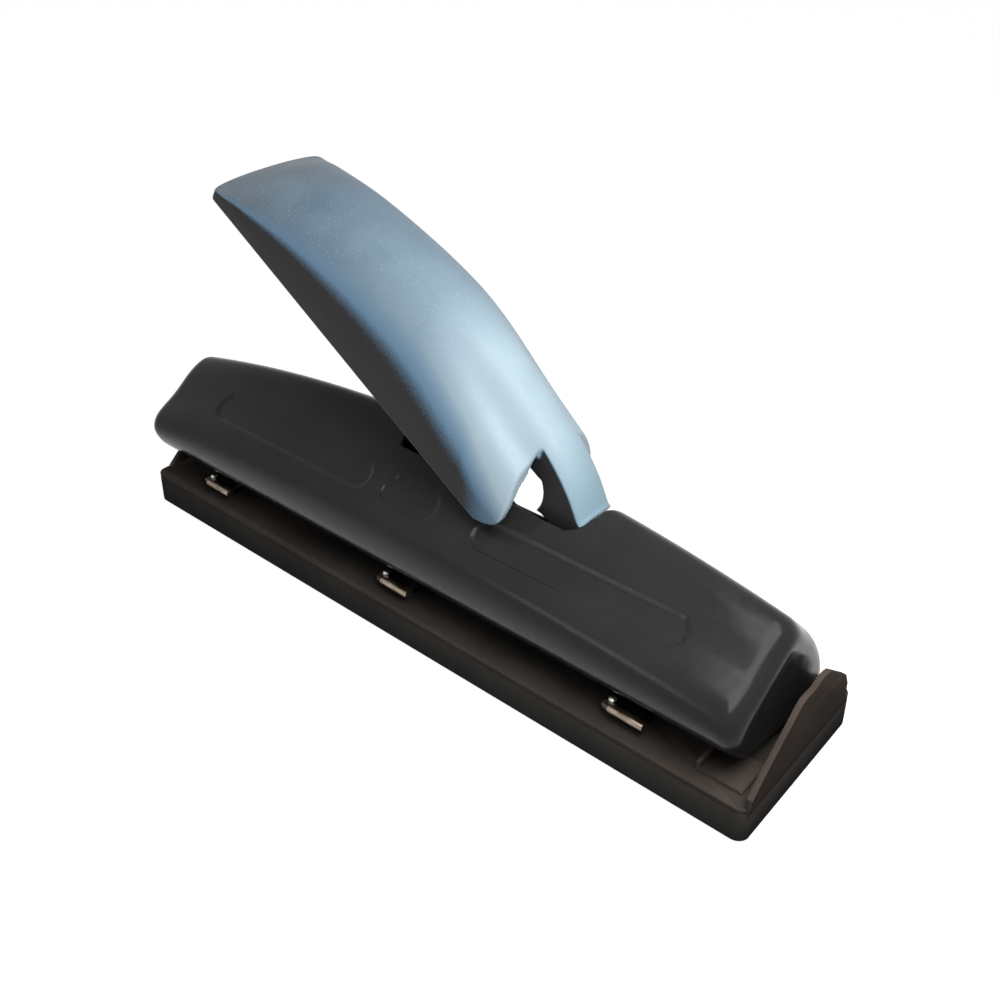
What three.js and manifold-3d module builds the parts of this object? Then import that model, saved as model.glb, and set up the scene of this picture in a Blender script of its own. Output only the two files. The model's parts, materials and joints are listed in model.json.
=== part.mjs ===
import * as THREE from 'three';
import Module from 'manifold-3d';
import { mergeVertices } from 'three/addons/utils/BufferGeometryUtils.js';

// A desk punch for three holes in millimetres: +X to the right, -Y to the user, +Z up.
// The origin is the middle of the base, on the table.

const wasm = await Module();
wasm.setup();

// Clearances and working values
const fit = 0.3;
const seat = 0.1;
const overrun = 30;
const round_sides = 24;
const small_round_sides = 16;

// Base, on the three holes' pitch
const base_length = 306.9;
const station_pitch_share = 0.351743;
const station_offset_share = -0.028837;
const base_depth = 73.7;
const foot_stand = 0.9;
const rim_height = 11.9;
const rim_draft = 0.4;
const rim_chamfer = 0.3;
const corner_radius = 4.5;
const tray_wall = 2.6;
const tray_floor = 3.1;
const tray_rib_thickness = 1.6;
const foot_radius = 6;
const foot_thickness = 2.6;
const foot_inset = 16;

// Steel frame: base plate and two cheeks
const plate_thickness = 2;
const cheek_thickness = 2;
const cheek_height = 27.7;
const left_cheek_inset = 6.4;
const bend_radius = 0.8;
const bend_from_back = 11;

// Punches, dies and guides
const punch_radius = 3.55;
const punch_line_from_front = 23.85;
const hole_margin = 12;
const slot_height = 4.4;
const punch_travel = 9;
const punch_tip_rise = 0.5;
const punch_tip_hollow = 1.4;
const punch_head_radius = 5.3;
const punch_head_thickness = 2.5;
const die_radius = 6.2;
const die_flange_radius = 8.5;
const die_depth = 5;
const guide_width = 14;
const guide_sheet = 2;
const guide_upper_sheet = 1.5;
const guide_leg_gap = 2.2;
const guide_bead_from_front = 5.6;
const guide_bead_radius = 1.5;
const guide_lip_offset = 4.5;
const guide_lip_margin = 3;
const guide_upper_reach = 8;
const guide_foot_length = 11;
const guide_rivet_radius = 1.5;
const guide_rivet_rise = 1.1;
const guide_rivet_side = 3.5;
const guide_rivet_from_front = 9.1;
const spring_wire_radius = 0.4;
const spring_mean_radius = 4.45;
const spring_pitch = 2.64;

// Press beam
const beam_front = 5;
const beam_depth = 19;
const beam_thickness = 6;
const beam_end = 9;
const beam_pocket_depth = 1.5;
const pad_length = 11;
const pad_side_gap = 0.6;

// Lever hinge and arm
const hinge_place_share = 0.052786;
const hinge_height_share = 0.654384;
const hinge_pin_radius = 3;
const hinge_boss_radius = 5.5;
const lever_raise = THREE.MathUtils.degToRad(34.3);
const lever_travel = THREE.MathUtils.degToRad(37);
const ear_sheet = 2.5;
const ear_radius = 6;
const bracket_length = 24;
const bracket_deck_gap = 2.2;
const bracket_foot_length = 16;
const arm_width = 11.9;
const arm_sheet = 2.5;
const arm_hub_radius = 8;
const arm_press_radius = 6.5;
const arm_web_height = 44;
const arm_web_thickness = 3;
const arm_reach = 72;
const press_pin_radius = 4.5;
const clip_radius = 4.5;
const clip_thickness = 1;
const clip_opening_share = 0.9;
const pin_end = 1.6;

// Lever shell, in the lever's own frame: its length along X and its underside level
const shell_half_width = 26;
const shell_wall = 2.5;
const shell_underside = 20.5;
const shell_free_end = 149;
const shell_heel_end = 30;
const shell_peak = 63.4;
const shell_edge_heel = 28.5;
const shell_edge_free = 24.7;
const shell_corner_radius = 2;
const shell_roundness = 2.02;
const heel_roundness = 1.7;
const shell_end_wall_depth = 4;
const tongue_half_width = 9;
const tongue_wall = 2.5;
const notch_start = 2.4;
const notch_height = 54;
const lobe_outline = [
  [3, 50.6], [5.2, 45.6], [8, 41], [10.8, 36], [12.2, 30.5], [11.1, 26.6], [8.2, 23.2],
];
const lobe_foot = 4;
const finger_arc_radius = 12.9;
const finger_arc_x = 2.8;
const finger_arc_height = 31;
const knob_reach = 8.6;
const knob_height = 41.3;
const tongue_low_x = 21;
const tongue_low_height = 30.6;
const under_tongue_height = 33.9;
const valley_depth = 3.2;
const valley_width = 4.6;
const valley_place = 13.2;
const valley_length = 62;
const lever_screw_radius = 1.7;
const lever_screw_head_radius = 3.4;
const lever_screw_head_thickness = 2.2;
const lever_screw_bite = 5;
const lever_boss_radius = 4.2;

// Cover
const cover_left_gap = 0.15;
const cover_right_gap = 8.35;
const cover_nose_from_front = 1.1;
const cover_depth = 65.4;
const cover_crest = 78.7;
const cover_crest_x = 2;
const cover_arch_radius = 676;
const cover_wall = 2.6;
const cover_end_radius = 6.5;
const cover_end_share = 0.72;
const recess_depth = 1.2;
const recess_from_front = 12;
const recess_width = 10;
const recess_back_shift = 7;
const saddle_floor_over_hinge = 8.5;
const saddle_from_front = 24.5;
const saddle_left_from_hinge = 15.2;
const saddle_right_from_hinge = 39.8;
const saddle_corner = 6;
const saddle_flank = 8;
const saddle_left_flank = 2;
const saddle_flank_rise = 6;
const saddle_bend_from_front = 35;
const saddle_back_slope = 0.88;
const saddle_wall = 2.1;
const saddle_back_spread = 0.826;
const opening_left_from_hinge = -34.2;
const opening_right_from_hinge = 11.8;
const opening_side_gap = 0.9;
const opening_corner = 3;
const screw_radius = 1.6;
const screw_head_radius = 3.2;
const screw_head_thickness = 2.2;
const screw_from_back = 16.2;
const screw_from_end = 15.5;
const screw_boss_radius = 4.4;
const screw_bite = 12;

// Paper stops
const paper_stop_sheet = 1.2;
const paper_stop_foot = 3.2;
const paper_half_width_share = 1.29412;
const edge_stop_sheet = 1.5;
const edge_stop_from_cheek = 3.2;
const edge_stop_from_front = 6;
const edge_stop_depth = 15;

// Worked-out levels and places
const front = -base_depth / 2;
const station_pitch = base_length * station_pitch_share;
const station_offset = base_length * station_offset_share;
const paper_half_width = station_pitch * paper_half_width_share;
const hinge_x = base_length * hinge_place_share;
const hinge_height = cover_crest * hinge_height_share;
const tray_top = foot_stand + rim_height;
const plate_bottom = tray_top + seat;
const plate_top = plate_bottom + plate_thickness;
const slot_top = plate_top + slot_height;
const stations = [-1, 0, 1].map((step) => station_offset + step * station_pitch);
const station_names = ['left', 'middle', 'right'];
const punch_y = front + punch_line_from_front;
const stop_y = punch_y + hole_margin;
const guide_web_y = stop_y + paper_stop_foot + fit;
const upper_leg_bottom = slot_top + guide_sheet + guide_leg_gap;
const upper_leg_top = upper_leg_bottom + guide_upper_sheet;
const beam_top = hinge_height - hinge_boss_radius - fit;
const beam_bottom = beam_top - beam_thickness;
const beam_y = punch_y - beam_front;
const punch_head_top = beam_bottom + beam_pocket_depth - fit;
const punch_head_bottom = punch_head_top - punch_head_thickness;
const punch_tip = slot_top + punch_tip_rise;
const arm_back_y = beam_y + beam_depth + arm_sheet / 4;
const arm_front_y = arm_back_y - arm_width;
const ear_back_y = guide_web_y - fit;
const ear_front_y = beam_y - fit - ear_sheet;
const press_arm = punch_travel / (2 * Math.sin(lever_travel / 2));
const press_x = hinge_x - press_arm * Math.cos(lever_travel / 2);
const press_height = hinge_height + press_arm * Math.sin(lever_travel / 2);
const pad_top = press_height - press_pin_radius - fit;
const press_turn = lever_travel / 2 - lever_raise;
const cover_front_y = front + cover_nose_from_front;
const cover_bottom = plate_top + fit;
const cover_middle = (cover_left_gap - cover_right_gap) / 2;
const cover_half_length = (base_length - cover_left_gap - cover_right_gap) / 2;
const screw_y = -front - screw_from_back;
const screw_places = [-1, 1].map((side) => cover_middle + side * (cover_half_length - screw_from_end));

// Materials
const finish = (color, roughness, metalness) => new THREE.MeshStandardMaterial({ color, roughness, metalness });
const black_gloss = finish(0x0b0d12, 0.22, 0);
const black_plastic = finish(0x16171a, 0.55, 0);
const rubber = finish(0x1c1c1c, 0.9, 0);
const dark_steel = finish(0x2a2320, 0.35, 0.7);
const zinc = finish(0xb4b2ac, 0.32, 0.95);
const tool_steel = finish(0x8d8f94, 0.25, 1);
const spring_steel = finish(0x9a9ca0, 0.3, 1);
const blue_grey = finish(0x64798a, 0.5, 0.25);

// Solids: a closed geometry as a manifold, and back
function solid(geometry) {
  const bare = geometry.clone();
  bare.deleteAttribute('normal');
  bare.deleteAttribute('uv');
  const merged = mergeVertices(bare, seat / 1000);
  const positions = Float32Array.from(merged.attributes.position.array);
  const triangles = Uint32Array.from(merged.index.array);
  return new wasm.Manifold(new wasm.Mesh({ numProp: 3, vertProperties: positions, triVerts: triangles }));
}

function geometryOf(body) {
  const mesh = body.getMesh();
  const geometry = new THREE.BufferGeometry();
  geometry.setAttribute('position', new THREE.BufferAttribute(Float32Array.from(mesh.vertProperties), 3));
  geometry.setIndex(Array.from(mesh.triVerts));
  geometry.computeVertexNormals();
  return geometry;
}

function shapeOf(points) {
  return new THREE.Shape(points.map(([a, b]) => new THREE.Vector2(a, b)));
}

function plainExtrude(shape, depth) {
  return new THREE.ExtrudeGeometry(shape, { depth, bevelEnabled: false, curveSegments: small_round_sides / 2 });
}

// A (y, z) outline pushed along X
function alongX(shape, x_start, x_end) {
  const geometry = plainExtrude(shape, x_end - x_start);
  const turn = new THREE.Matrix4().makeBasis(
    new THREE.Vector3(0, 1, 0),
    new THREE.Vector3(0, 0, 1),
    new THREE.Vector3(1, 0, 0),
  );
  geometry.applyMatrix4(turn.setPosition(x_start, 0, 0));
  return solid(geometry);
}

// An (x, z) outline pushed along Y
function alongY(shape, y_start, y_end) {
  const geometry = plainExtrude(shape, y_end - y_start);
  const turn = new THREE.Matrix4().makeBasis(
    new THREE.Vector3(1, 0, 0),
    new THREE.Vector3(0, 0, 1),
    new THREE.Vector3(0, -1, 0),
  );
  geometry.applyMatrix4(turn.setPosition(0, y_end, 0));
  return solid(geometry);
}

// An (x, y) outline pushed along Z
function alongZ(shape, z_start, z_end) {
  const geometry = plainExtrude(shape, z_end - z_start);
  geometry.translate(0, 0, z_start);
  return solid(geometry);
}

function block(low, high) {
  const size = high.map((value, axis) => value - low[axis]);
  const geometry = new THREE.BoxGeometry(...size);
  geometry.translate(low[0] + size[0] / 2, low[1] + size[1] / 2, low[2] + size[2] / 2);
  return solid(geometry);
}

// A turned profile of [radius, height] points, about Z
function turned(profile, sides = round_sides) {
  const geometry = new THREE.LatheGeometry(profile.map(([r, z]) => new THREE.Vector2(r, z)), sides);
  return solid(geometry.rotateX(Math.PI / 2));
}

function rod(radius, z_start, z_end, sides = round_sides) {
  return turned([[0, z_start], [radius, z_start], [radius, z_end], [0, z_end]], sides);
}

function rodAlongY(radius, x, z, y_start, y_end, sides = round_sides) {
  return rod(radius, -y_end, -y_start, sides).rotate([90, 0, 0]).translate([x, 0, z]);
}

function roundedBox(half_x, half_y, radius) {
  const shape = new THREE.Shape();
  const right = half_x - radius;
  const back = half_y - radius;
  shape.absarc(right, back, radius, 0, Math.PI / 2);
  shape.absarc(-right, back, radius, Math.PI / 2, Math.PI);
  shape.absarc(-right, -back, radius, Math.PI, 1.5 * Math.PI);
  shape.absarc(right, -back, radius, 1.5 * Math.PI, 2 * Math.PI);
  return shape;
}

// A skin through rings of points with a middle point in each end ring
function loft(rings) {
  const count = rings[0].length;
  const positions = [];
  const triangles = [];
  rings.flat().forEach((point) => positions.push(...point));
  rings.slice(1).forEach((ring, step) => {
    ring.forEach((point, place) => {
      const next = (place + 1) % count;
      const low = step * count;
      const high = low + count;
      triangles.push(low + place, low + next, high + next);
      triangles.push(low + place, high + next, high + place);
    });
  });
  [rings[0], rings[rings.length - 1]].forEach((ring, end) => {
    const middle = positions.length / 3;
    positions.push(...[0, 1, 2].map((axis) => ring.reduce((sum, point) => sum + point[axis], 0) / count));
    const first = end * (rings.length - 1) * count;
    ring.forEach((point, place) => {
      const next = (place + 1) % count;
      const edge = end === 0 ? [first + next, first + place] : [first + place, first + next];
      triangles.push(...edge, middle);
    });
  });
  const geometry = new THREE.BufferGeometry();
  geometry.setAttribute('position', new THREE.Float32BufferAttribute(positions, 3));
  geometry.setIndex(triangles);
  const body = solid(geometry);
  return body.volume() > 0 ? body : flipped(geometry);
}

function flipped(geometry) {
  const order = Array.from(geometry.index.array);
  for (let at = 0; at < order.length; at += 3) {
    [order[at], order[at + 1]] = [order[at + 1], order[at]];
  }
  geometry.setIndex(order);
  return solid(geometry);
}

const smoothStep = (share) => {
  const held = Math.min(Math.max(share, 0), 1);
  return held * held * (3 - 2 * held);
};

// Base tray: a drafted rim with a hollow for the chips, ribs and pockets for the feet
function baseTray() {
  const ring = (level, inset, radius) => roundedBox(base_length / 2 - inset, base_depth / 2 - inset, radius)
    .getPoints(small_round_sides / 4).slice(0, -1).map((point) => [point.x, point.y, level]);
  const outer = loft([
    ring(foot_stand, rim_chamfer, corner_radius - rim_chamfer),
    ring(foot_stand + rim_chamfer, 0, corner_radius),
    ring(tray_top, rim_draft, corner_radius - rim_draft),
  ]);
  const hollow = loft([
    ring(foot_stand + tray_floor, rim_draft + 2 * tray_wall, corner_radius - tray_wall),
    ring(tray_top + overrun, tray_wall + rim_draft, corner_radius - tray_wall),
  ]);
  const rib_top = tray_top - die_depth;
  const ribs = [-1, 1].map((side) => {
    const x = station_offset + side * station_pitch / 2;
    return block(
      [x - tray_rib_thickness / 2, front + tray_wall, foot_stand + tray_floor / 2],
      [x + tray_rib_thickness / 2, -front - tray_wall, rib_top],
    );
  });
  const pockets = footPlaces().map(([x, y]) => rod(foot_radius + fit, 0, foot_thickness + seat).translate([x, y, 0]));
  return ribs.reduce((body, rib) => body.add(rib), outer.subtract(hollow))
    .subtract(wasm.Manifold.union(pockets));
}

function footPlaces() {
  const x = base_length / 2 - foot_inset;
  const y = base_depth / 2 - foot_inset;
  return [[-x, -y], [x, -y], [-x, y], [x, y]];
}

// Steel frame: the base plate with both cheeks turned up from its ends
function cheekShape(scale_share) {
  const height = cheek_height * scale_share;
  const outline_shares = [
    [0.038, 0.14], [0.125, 0.37], [0.25, 0.63], [0.375, 0.91], [0.41, 0.955], [0.505, 0.945], [0.56, 1],
    [0.61, 0.995], [0.65, 0.96], [0.855, 0.52], [0.9, 0.3], [0.913, 0],
  ];
  const points = outline_shares.map(([depth_share, rise_share]) => (
    [front + depth_share * base_depth, plate_top + rise_share * height]));
  const foot_front = front + corner_radius / 2;
  const foot_back = points[points.length - 1][0];
  return shapeOf([[foot_front, plate_bottom], [foot_front, plate_top], ...points, [foot_back, plate_bottom]]);
}

function steelFrame() {
  const plate = alongZ(
    roundedBox(base_length / 2 - rim_draft, base_depth / 2 - rim_draft, corner_radius),
    plate_bottom,
    plate_top,
  );
  const right_face = base_length / 2 - rim_draft;
  const left_face = -base_length / 2 + left_cheek_inset;
  const right_cheek = alongX(cheekShape(1), right_face - cheek_thickness, right_face);
  const left_cheek_share = 0.86;
  const lip_height = cover_bottom + end_section_shares[0][1] * (cover_crest - cover_bottom);
  const room = coverBody(cover_wall + 3 * fit).add(block([-base_length, front, 0], [0, punch_y, lip_height - 4 * fit]));
  const left_cheek = alongX(cheekShape(left_cheek_share), left_face, left_face + cheek_thickness).intersect(room);
  const paper_gap = block(
    [left_face - fit, front - fit, plate_top],
    [left_face + cheek_thickness + fit, stop_y, slot_top],
  );
  const fillet = (x, side) => alongY(shapeOf([
    [x, plate_top - seat], [x + side * bend_radius, plate_top - seat], [x, plate_top + bend_radius],
  ]), stop_y, -front - bend_from_back);
  const bends = [fillet(right_face - cheek_thickness + seat, -1), fillet(left_face + cheek_thickness - seat, 1)];
  const die_holes = stations.map((x) => rod(die_radius + fit, 0, plate_top + fit).translate([x, punch_y, 0]));
  const screw_holes = screw_places.map((x) => rod(screw_radius + fit, 0, plate_top + fit, small_round_sides)
    .translate([x, screw_y, 0]));
  return plate.add(right_cheek).add(left_cheek.subtract(paper_gap)).add(wasm.Manifold.union(bends))
    .subtract(wasm.Manifold.union([...die_holes, ...screw_holes]));
}

// A screw from below the plate up into the cover's boss
function coverScrew(x) {
  const head_top = plate_bottom - seat;
  const head_bottom = head_top - screw_head_thickness;
  const tip = cover_bottom + screw_bite;
  const body = turned([
    [0, head_bottom], [screw_head_radius, head_bottom], [screw_head_radius, head_top],
    [screw_radius, head_top], [screw_radius, tip], [0, tip],
  ], small_round_sides);
  const half_slot = screw_radius / 4;
  const slot = block(
    [-screw_head_radius, -half_slot, head_bottom - fit],
    [screw_head_radius, half_slot, head_bottom + screw_head_thickness / 2],
  );
  return body.subtract(slot).translate([x, screw_y, 0]);
}

// Dies, guides, punches and springs at a station
function dieBush() {
  const flange_top = plate_bottom - fit;
  const bore = punch_radius + fit;
  return turned([
    [bore, plate_top - die_depth], [die_flange_radius, plate_top - die_depth],
    [die_flange_radius, flange_top], [die_radius, flange_top], [die_radius, plate_top],
    [bore, plate_top], [bore, plate_top - die_depth],
  ]);
}

function guideProfile() {
  const shape = new THREE.Shape();
  const web_back = guide_web_y + guide_sheet;
  shape.moveTo(web_back, plate_top + guide_sheet);
  shape.lineTo(web_back, upper_leg_top);
  shape.lineTo(punch_y - guide_upper_reach, upper_leg_top);
  shape.lineTo(punch_y - guide_upper_reach, upper_leg_bottom);
  shape.lineTo(guide_web_y, upper_leg_bottom);
  shape.lineTo(guide_web_y, plate_top + seat);
  shape.lineTo(web_back + guide_foot_length, plate_top + seat);
  shape.lineTo(web_back + guide_foot_length, plate_top + guide_sheet);
  return shape;
}

function guideLip() {
  const bead_y = front + guide_bead_from_front;
  const start = guide_lip_offset - guide_width / 2;
  const end = guide_lip_offset + guide_width / 2;
  const rolled = new THREE.Shape();
  rolled.absarc(bead_y, slot_top + guide_bead_radius, guide_bead_radius, 0, 2 * Math.PI);
  const leg_start = start - guide_lip_margin;
  const leg = block([leg_start, bead_y, slot_top], [end, guide_web_y + seat, slot_top + guide_sheet]);
  return alongX(rolled, start, end).add(leg);
}

function punchGuide() {
  const body = alongX(guideProfile(), -guide_width / 2, guide_width / 2).add(guideLip());
  const bore = rod(punch_radius + fit, plate_top, upper_leg_top + fit).translate([0, punch_y, 0]);
  const rivet_hole = rod(guide_rivet_radius / 2 + fit, slot_top - fit, slot_top + guide_sheet + fit, small_round_sides)
    .translate([-guide_rivet_side, front + guide_rivet_from_front, 0]);
  return body.subtract(bore).subtract(rivet_hole);
}

function guideRivet() {
  const base = slot_top + guide_sheet + seat;
  const stem = guide_rivet_radius / 2;
  return turned([
    [0, slot_top + seat], [stem, slot_top + seat], [stem, base], [guide_rivet_radius, base],
    [guide_rivet_radius, base + guide_rivet_rise / 2], [stem, base + guide_rivet_rise], [0, base + guide_rivet_rise],
  ], small_round_sides).translate([-guide_rivet_side, front + guide_rivet_from_front, 0]);
}

function punch() {
  const chamfer = punch_head_thickness / 5;
  const body = turned([
    [0, punch_tip], [punch_radius, punch_tip], [punch_radius, punch_head_bottom],
    [punch_head_radius, punch_head_bottom], [punch_head_radius, punch_head_top - chamfer],
    [punch_head_radius - chamfer, punch_head_top], [0, punch_head_top],
  ]);
  const hollow_radius = (punch_radius * punch_radius + punch_tip_hollow * punch_tip_hollow) / (2 * punch_tip_hollow);
  const hollow = rodAlongY(hollow_radius, 0, punch_tip + punch_tip_hollow - hollow_radius,
    -punch_head_radius, punch_head_radius);
  return body.subtract(hollow).translate([0, punch_y, 0]);
}

function returnSpring() {
  const sides = 5;
  const low = upper_leg_top + seat + spring_wire_radius;
  const high = punch_head_bottom - seat - spring_wire_radius;
  const turns = (high - low) / spring_pitch;
  const steps = Math.round(turns * 8);
  const centres = Array.from({ length: steps + 1 }, (unused, step) => {
    const angle = turns * 2 * Math.PI * step / steps;
    return [
      spring_mean_radius * Math.cos(angle), spring_mean_radius * Math.sin(angle), low + (high - low) * step / steps,
    ];
  });
  const rings = centres.map(([x, y, z]) => Array.from({ length: sides }, (unused, side) => {
    const angle = 2 * Math.PI * side / sides;
    const out = 1 + spring_wire_radius * Math.cos(angle) / spring_mean_radius;
    return [x * out, punch_y + y * out, z + spring_wire_radius * Math.sin(angle)];
  }));
  return { body: loft(rings), gap: leastGap(centres, 6) };
}

// Least gap between turns, from centre points at least some steps apart
function leastGap(centres, apart) {
  let least = Infinity;
  centres.forEach((one, place) => {
    centres.slice(place + apart).forEach((other) => {
      least = Math.min(least, Math.hypot(one[0] - other[0], one[1] - other[1], one[2] - other[2]));
    });
  });
  return least - 2 * spring_wire_radius;
}

// Press beam: a flat bar with a pocket over each punch and a pad under the lever's press pin
function pressBeam() {
  const low_x = stations[0] - beam_end;
  const high_x = stations[2] + beam_end;
  const bar_shape = roundedBox((high_x - low_x) / 2, beam_depth / 2, beam_end / 3);
  const bar = alongZ(bar_shape, beam_bottom, beam_top).translate([(low_x + high_x) / 2, beam_y + beam_depth / 2, 0]);
  const pad_chamfer = (pad_top - beam_top) / 2;
  const pad = alongY(shapeOf([
    [press_x - pad_length / 2, beam_top - beam_thickness / 2], [press_x + pad_length / 2, beam_top - beam_thickness / 2],
    [press_x + pad_length / 2, pad_top - pad_chamfer], [press_x + pad_length / 2 - pad_chamfer, pad_top],
    [press_x - pad_length / 2 + pad_chamfer, pad_top], [press_x - pad_length / 2, pad_top - pad_chamfer],
  ]), arm_front_y + arm_sheet + pad_side_gap, arm_back_y - arm_sheet - pad_side_gap);
  const pockets = stations.map((x) => rod(punch_head_radius + fit, beam_bottom - fit, beam_bottom + beam_pocket_depth)
    .translate([x, punch_y, 0]));
  return bar.add(pad).subtract(wasm.Manifold.union(pockets));
}

// Hinge bracket: one folded sheet with a foot, a deck over the paper slot and two ears
function hingeBracket() {
  const ear_top = hinge_height + ear_radius;
  const deck_low = slot_top + bracket_deck_gap;
  const back_outer = ear_back_y + ear_sheet;
  const front_inner = ear_front_y + ear_sheet;
  const fold = alongX(shapeOf([
    [back_outer + bracket_foot_length, plate_top + seat], [back_outer + bracket_foot_length, plate_top + ear_sheet],
    [back_outer, plate_top + ear_sheet], [back_outer, ear_top], [ear_back_y, ear_top],
    [ear_back_y, deck_low + ear_sheet], [front_inner, deck_low + ear_sheet], [front_inner, ear_top],
    [ear_front_y, ear_top], [ear_front_y, deck_low], [ear_back_y, deck_low], [ear_back_y, plate_top + seat],
  ]), hinge_x - bracket_length / 2, hinge_x + bracket_length / 2);
  const outline = new THREE.Shape();
  outline.moveTo(hinge_x - bracket_length / 2 - fit, plate_top);
  outline.lineTo(hinge_x + bracket_length / 2 + fit, plate_top);
  outline.lineTo(hinge_x + bracket_length / 2 + fit, deck_low + 2 * ear_sheet);
  outline.absarc(hinge_x, hinge_height, ear_radius, 0, Math.PI);
  outline.lineTo(hinge_x - bracket_length / 2 - fit, deck_low + 2 * ear_sheet);
  const trimmed = fold.intersect(alongY(outline, front, -front));
  return trimmed.subtract(rodAlongY(hinge_pin_radius + fit, hinge_x, hinge_height, front, -front));
}

function hingePin() {
  const chamfer = hinge_pin_radius / 5;
  const low = ear_front_y - clip_thickness - pin_end;
  const high = ear_back_y + ear_sheet + clip_thickness + pin_end;
  return turned([
    [0, -high], [hinge_pin_radius - chamfer, -high], [hinge_pin_radius, -high + chamfer],
    [hinge_pin_radius, -low - chamfer], [hinge_pin_radius - chamfer, -low], [0, -low],
  ]).rotate([90, 0, 0]).translate([hinge_x, 0, hinge_height]);
}

function hingeClip(y_start) {
  const ring = rodAlongY(clip_radius, hinge_x, hinge_height, y_start, y_start + clip_thickness);
  const bore = rodAlongY(hinge_pin_radius + fit, hinge_x, hinge_height, front, -front);
  const half_gap = hinge_pin_radius * clip_opening_share;
  const gap = block(
    [hinge_x - half_gap, front, hinge_height - clip_radius - fit],
    [hinge_x + half_gap, -front, hinge_height],
  );
  return ring.subtract(bore).subtract(gap);
}

// Lever arm, in the lever's frame: two side plates, a hub tube and a web under the shell
function armShape() {
  const web_top = arm_web_height + arm_web_thickness;
  const shape = new THREE.Shape();
  const press_local_x = -press_arm * Math.cos(press_turn);
  const press_local_z = press_arm * Math.sin(press_turn);
  shape.absarc(0, 0, hinge_boss_radius, -Math.PI / 2, Math.PI / 4);
  shape.lineTo(-arm_hub_radius / 3, arm_web_height / 2);
  shape.lineTo(-arm_hub_radius * 1.5, arm_web_height);
  shape.lineTo(-arm_hub_radius * 1.5, web_top);
  shape.lineTo(-arm_reach, web_top);
  shape.lineTo(-arm_reach, arm_web_height - arm_web_thickness);
  shape.quadraticCurveTo(-arm_reach / 2.2, arm_web_height * 0.8, press_local_x - arm_press_radius,
    arm_web_height * 0.45);
  shape.absarc(press_local_x, press_local_z, arm_press_radius, Math.PI, 1.45 * Math.PI);
  return shape;
}

function leverArm() {
  const profile = armShape();
  const front_plate = alongY(profile, arm_front_y, arm_front_y + arm_sheet);
  const back_plate = alongY(profile, arm_back_y - arm_sheet, arm_back_y);
  const web = block([-arm_reach, arm_front_y + arm_sheet / 2, arm_web_height],
    [-arm_hub_radius * 1.5, arm_back_y - arm_sheet / 2, arm_web_height + arm_web_thickness]);
  const hub = rodAlongY(hinge_boss_radius, 0, 0, ear_front_y + ear_sheet + fit, ear_back_y - fit);
  const bore = rodAlongY(hinge_pin_radius + fit, 0, 0, front, -front);
  const press_hole = rodAlongY(press_pin_radius / 2 + fit, -press_arm * Math.cos(press_turn),
    press_arm * Math.sin(press_turn), front, -front);
  const screw_holes = leverScrewPlaces().map((x) => rod(lever_screw_radius + fit, arm_web_height - fit,
    arm_web_height + 2 * arm_web_thickness, small_round_sides).translate([x, (arm_front_y + arm_back_y) / 2, 0]));
  return front_plate.add(back_plate).add(web).add(hub).subtract(bore).subtract(press_hole)
    .subtract(wasm.Manifold.union(screw_holes));
}

function leverScrewPlaces() {
  const first_share = 0.36;
  const second_share = 0.86;
  return [-arm_reach * first_share, -arm_reach * second_share];
}

function pressPin() {
  const neck = press_pin_radius / 2;
  const body = (arm_width - 2 * arm_sheet) / 2 - fit;
  const whole = arm_width / 2 + fit;
  const middle = (arm_front_y + arm_back_y) / 2;
  return turned([
    [0, -whole], [neck, -whole], [neck, -body], [press_pin_radius, -body], [press_pin_radius, body],
    [neck, body], [neck, whole], [0, whole],
  ]).rotate([90, 0, 0]).translate([-press_arm * Math.cos(press_turn), middle, press_arm * Math.sin(press_turn)]);
}

function leverScrew(x) {
  const head_top = arm_web_height - seat;
  const head_bottom = head_top - lever_screw_head_thickness;
  const tip = arm_web_height + arm_web_thickness + fit + lever_screw_bite;
  const drive = block([-lever_screw_head_radius, -lever_screw_radius / 4, head_bottom - fit],
    [lever_screw_head_radius, lever_screw_radius / 4, head_bottom + lever_screw_head_thickness / 2]);
  return turned([
    [0, head_bottom], [lever_screw_head_radius, head_bottom], [lever_screw_head_radius, head_top],
    [lever_screw_radius, head_top], [lever_screw_radius, tip], [0, tip],
  ], small_round_sides).subtract(drive).translate([x, (arm_front_y + arm_back_y) / 2, 0]);
}

// Lever shell: crown height along the lever, from shares of its length and peak
const crown_shares = [
  [0, 0.445], [0.035, 0.54], [0.08, 0.65], [0.19, 0.795], [0.32, 0.905], [0.46, 0.98], [0.6, 1],
  [0.765, 0.945], [0.865, 0.89], [0.94, 0.81], [1, 0.705],
];
const crown_curve = new THREE.SplineCurve(crown_shares.map(([length_share, height_share]) => (
  new THREE.Vector2(length_share, height_share))));

function crownHeight(x) {
  const share = (x + shell_free_end) / (shell_free_end + shell_heel_end);
  let low = 0;
  let high = 1;
  while (high - low > 1 / 4096) {
    const middle = (low + high) / 2;
    if (crown_curve.getPoint(middle).x < share) low = middle;
    else high = middle;
  }
  return shell_peak * crown_curve.getPoint(low).y;
}

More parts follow.
